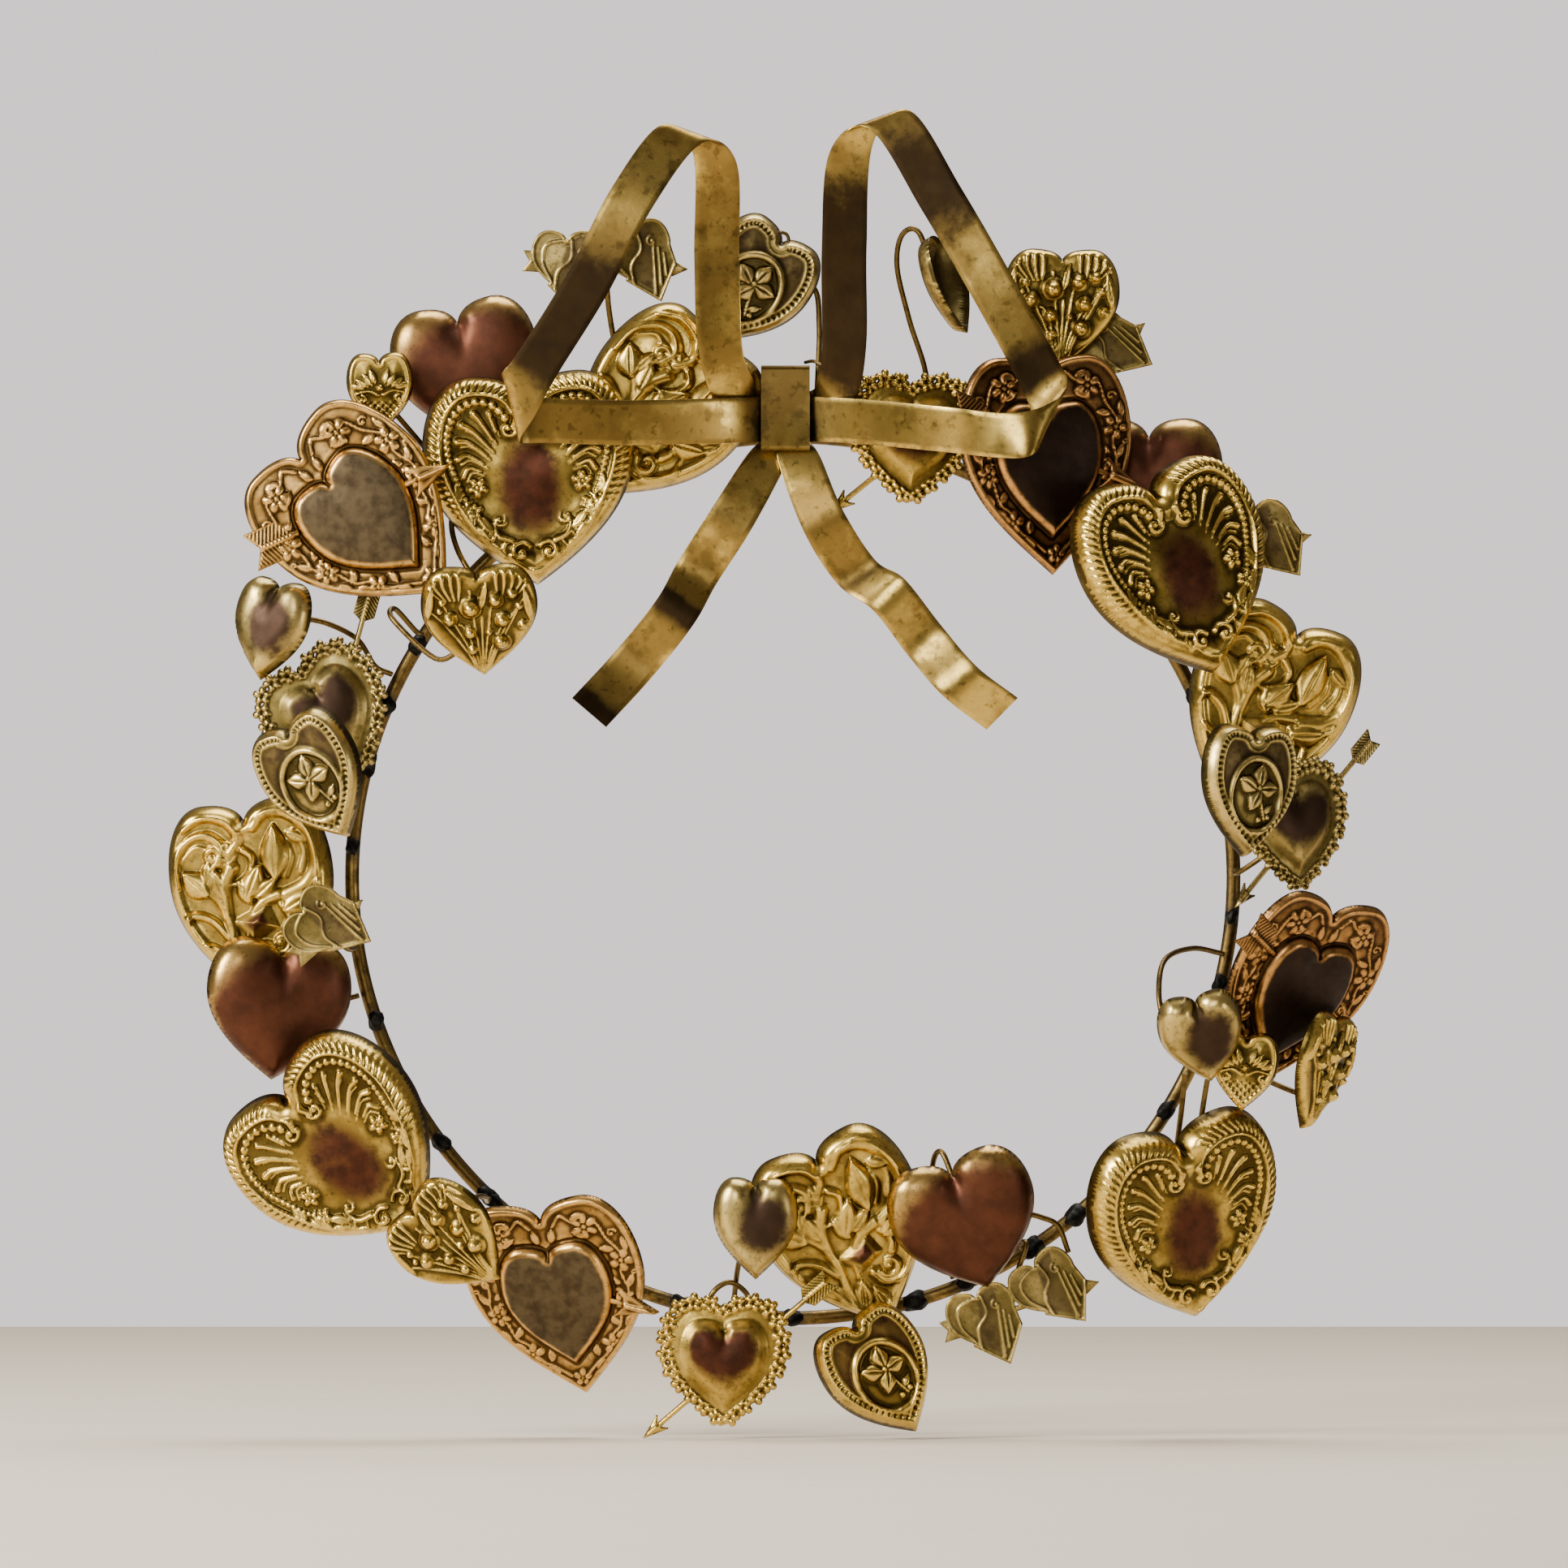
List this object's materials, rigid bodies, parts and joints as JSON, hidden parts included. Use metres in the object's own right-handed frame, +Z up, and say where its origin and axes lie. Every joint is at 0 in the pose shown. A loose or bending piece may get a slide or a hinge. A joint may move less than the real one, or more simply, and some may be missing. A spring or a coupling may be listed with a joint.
{
  "type": "decorative wreath",
  "caption": "Hanging wreath: a brass rod ring with stamped brass hearts on soldered wire stems and a bow of brass ribbon at the top.",
  "frame": {"origin": "under the band of the bow, in the plane of the ring, where a pin or hook bears", "axes": "+Z up, the wreath's face looks along -Y, +X to the viewer's right"},
  "size_m": [0.3452, 0.0546, 0.3748],
  "materials": {
    "rod": "dull, dark in places",
    "gold": "stamped, antiqued, worn bright on the relief",
    "aged": "stamped, brown patina in the hollows",
    "copper": "stamped, copper-toned wash, dark heart in the middle",
    "russet": "smooth, red-brown oxide with brassy edges",
    "wire": "dull drawn wire, black at the solder",
    "ribbon": "rolled strip, satin, brown bloom and specks"
  },
  "bodies": {
    "root": {"ring": "rod", "bow_band": "ribbon", "bow_loop_left": "ribbon", "bow_loop_right": "ribbon", "bow_tail_left": "ribbon", "bow_tail_right": "ribbon", "twin_heart_1": "aged", "clover_locket_1": "aged", "small_heart_1": "aged", "berry_heart_1": "gold", "half_twin_1": "aged", "fringe_heart_1": "aged", "arrow_heart_1": "copper", "plain_heart_1": "russet", "rope_heart_1": "gold", "half_twin_2": "aged", "lily_heart_1": "gold", "clover_locket_2": "aged", "fringe_heart_2": "aged", "arrow_heart_2": "copper", "small_heart_2": "aged", "basket_heart_1": "gold", "berry_heart_2": "gold", "rope_heart_2": "gold", "twin_heart_2": "aged", "plain_heart_2": "russet", "lily_heart_2": "gold", "small_heart_3": "aged", "fringe_heart_3": "aged", "clover_locket_3": "aged", "arrow_heart_3": "copper", "berry_heart_3": "gold", "rope_heart_3": "gold", "plain_heart_3": "russet", "lily_heart_3": "gold", "half_twin_3": "aged", "clover_locket_4": "aged", "fringe_heart_4": "aged", "small_heart_4": "aged", "arrow_heart_4": "copper", "basket_heart_2": "gold", "berry_heart_4": "gold", "rope_heart_4": "gold", "plain_heart_4": "russet", "lily_heart_4": "gold", "stem_top_locket": "wire", "stem_bottom_hook": "wire", "stem_bottom_arrow": "wire", "stem_left_loop": "wire", "stem_left_arm": "wire", "stem_left_hook": "wire", "stem_right_hook": "wire"}
  },
  "joints": []
}
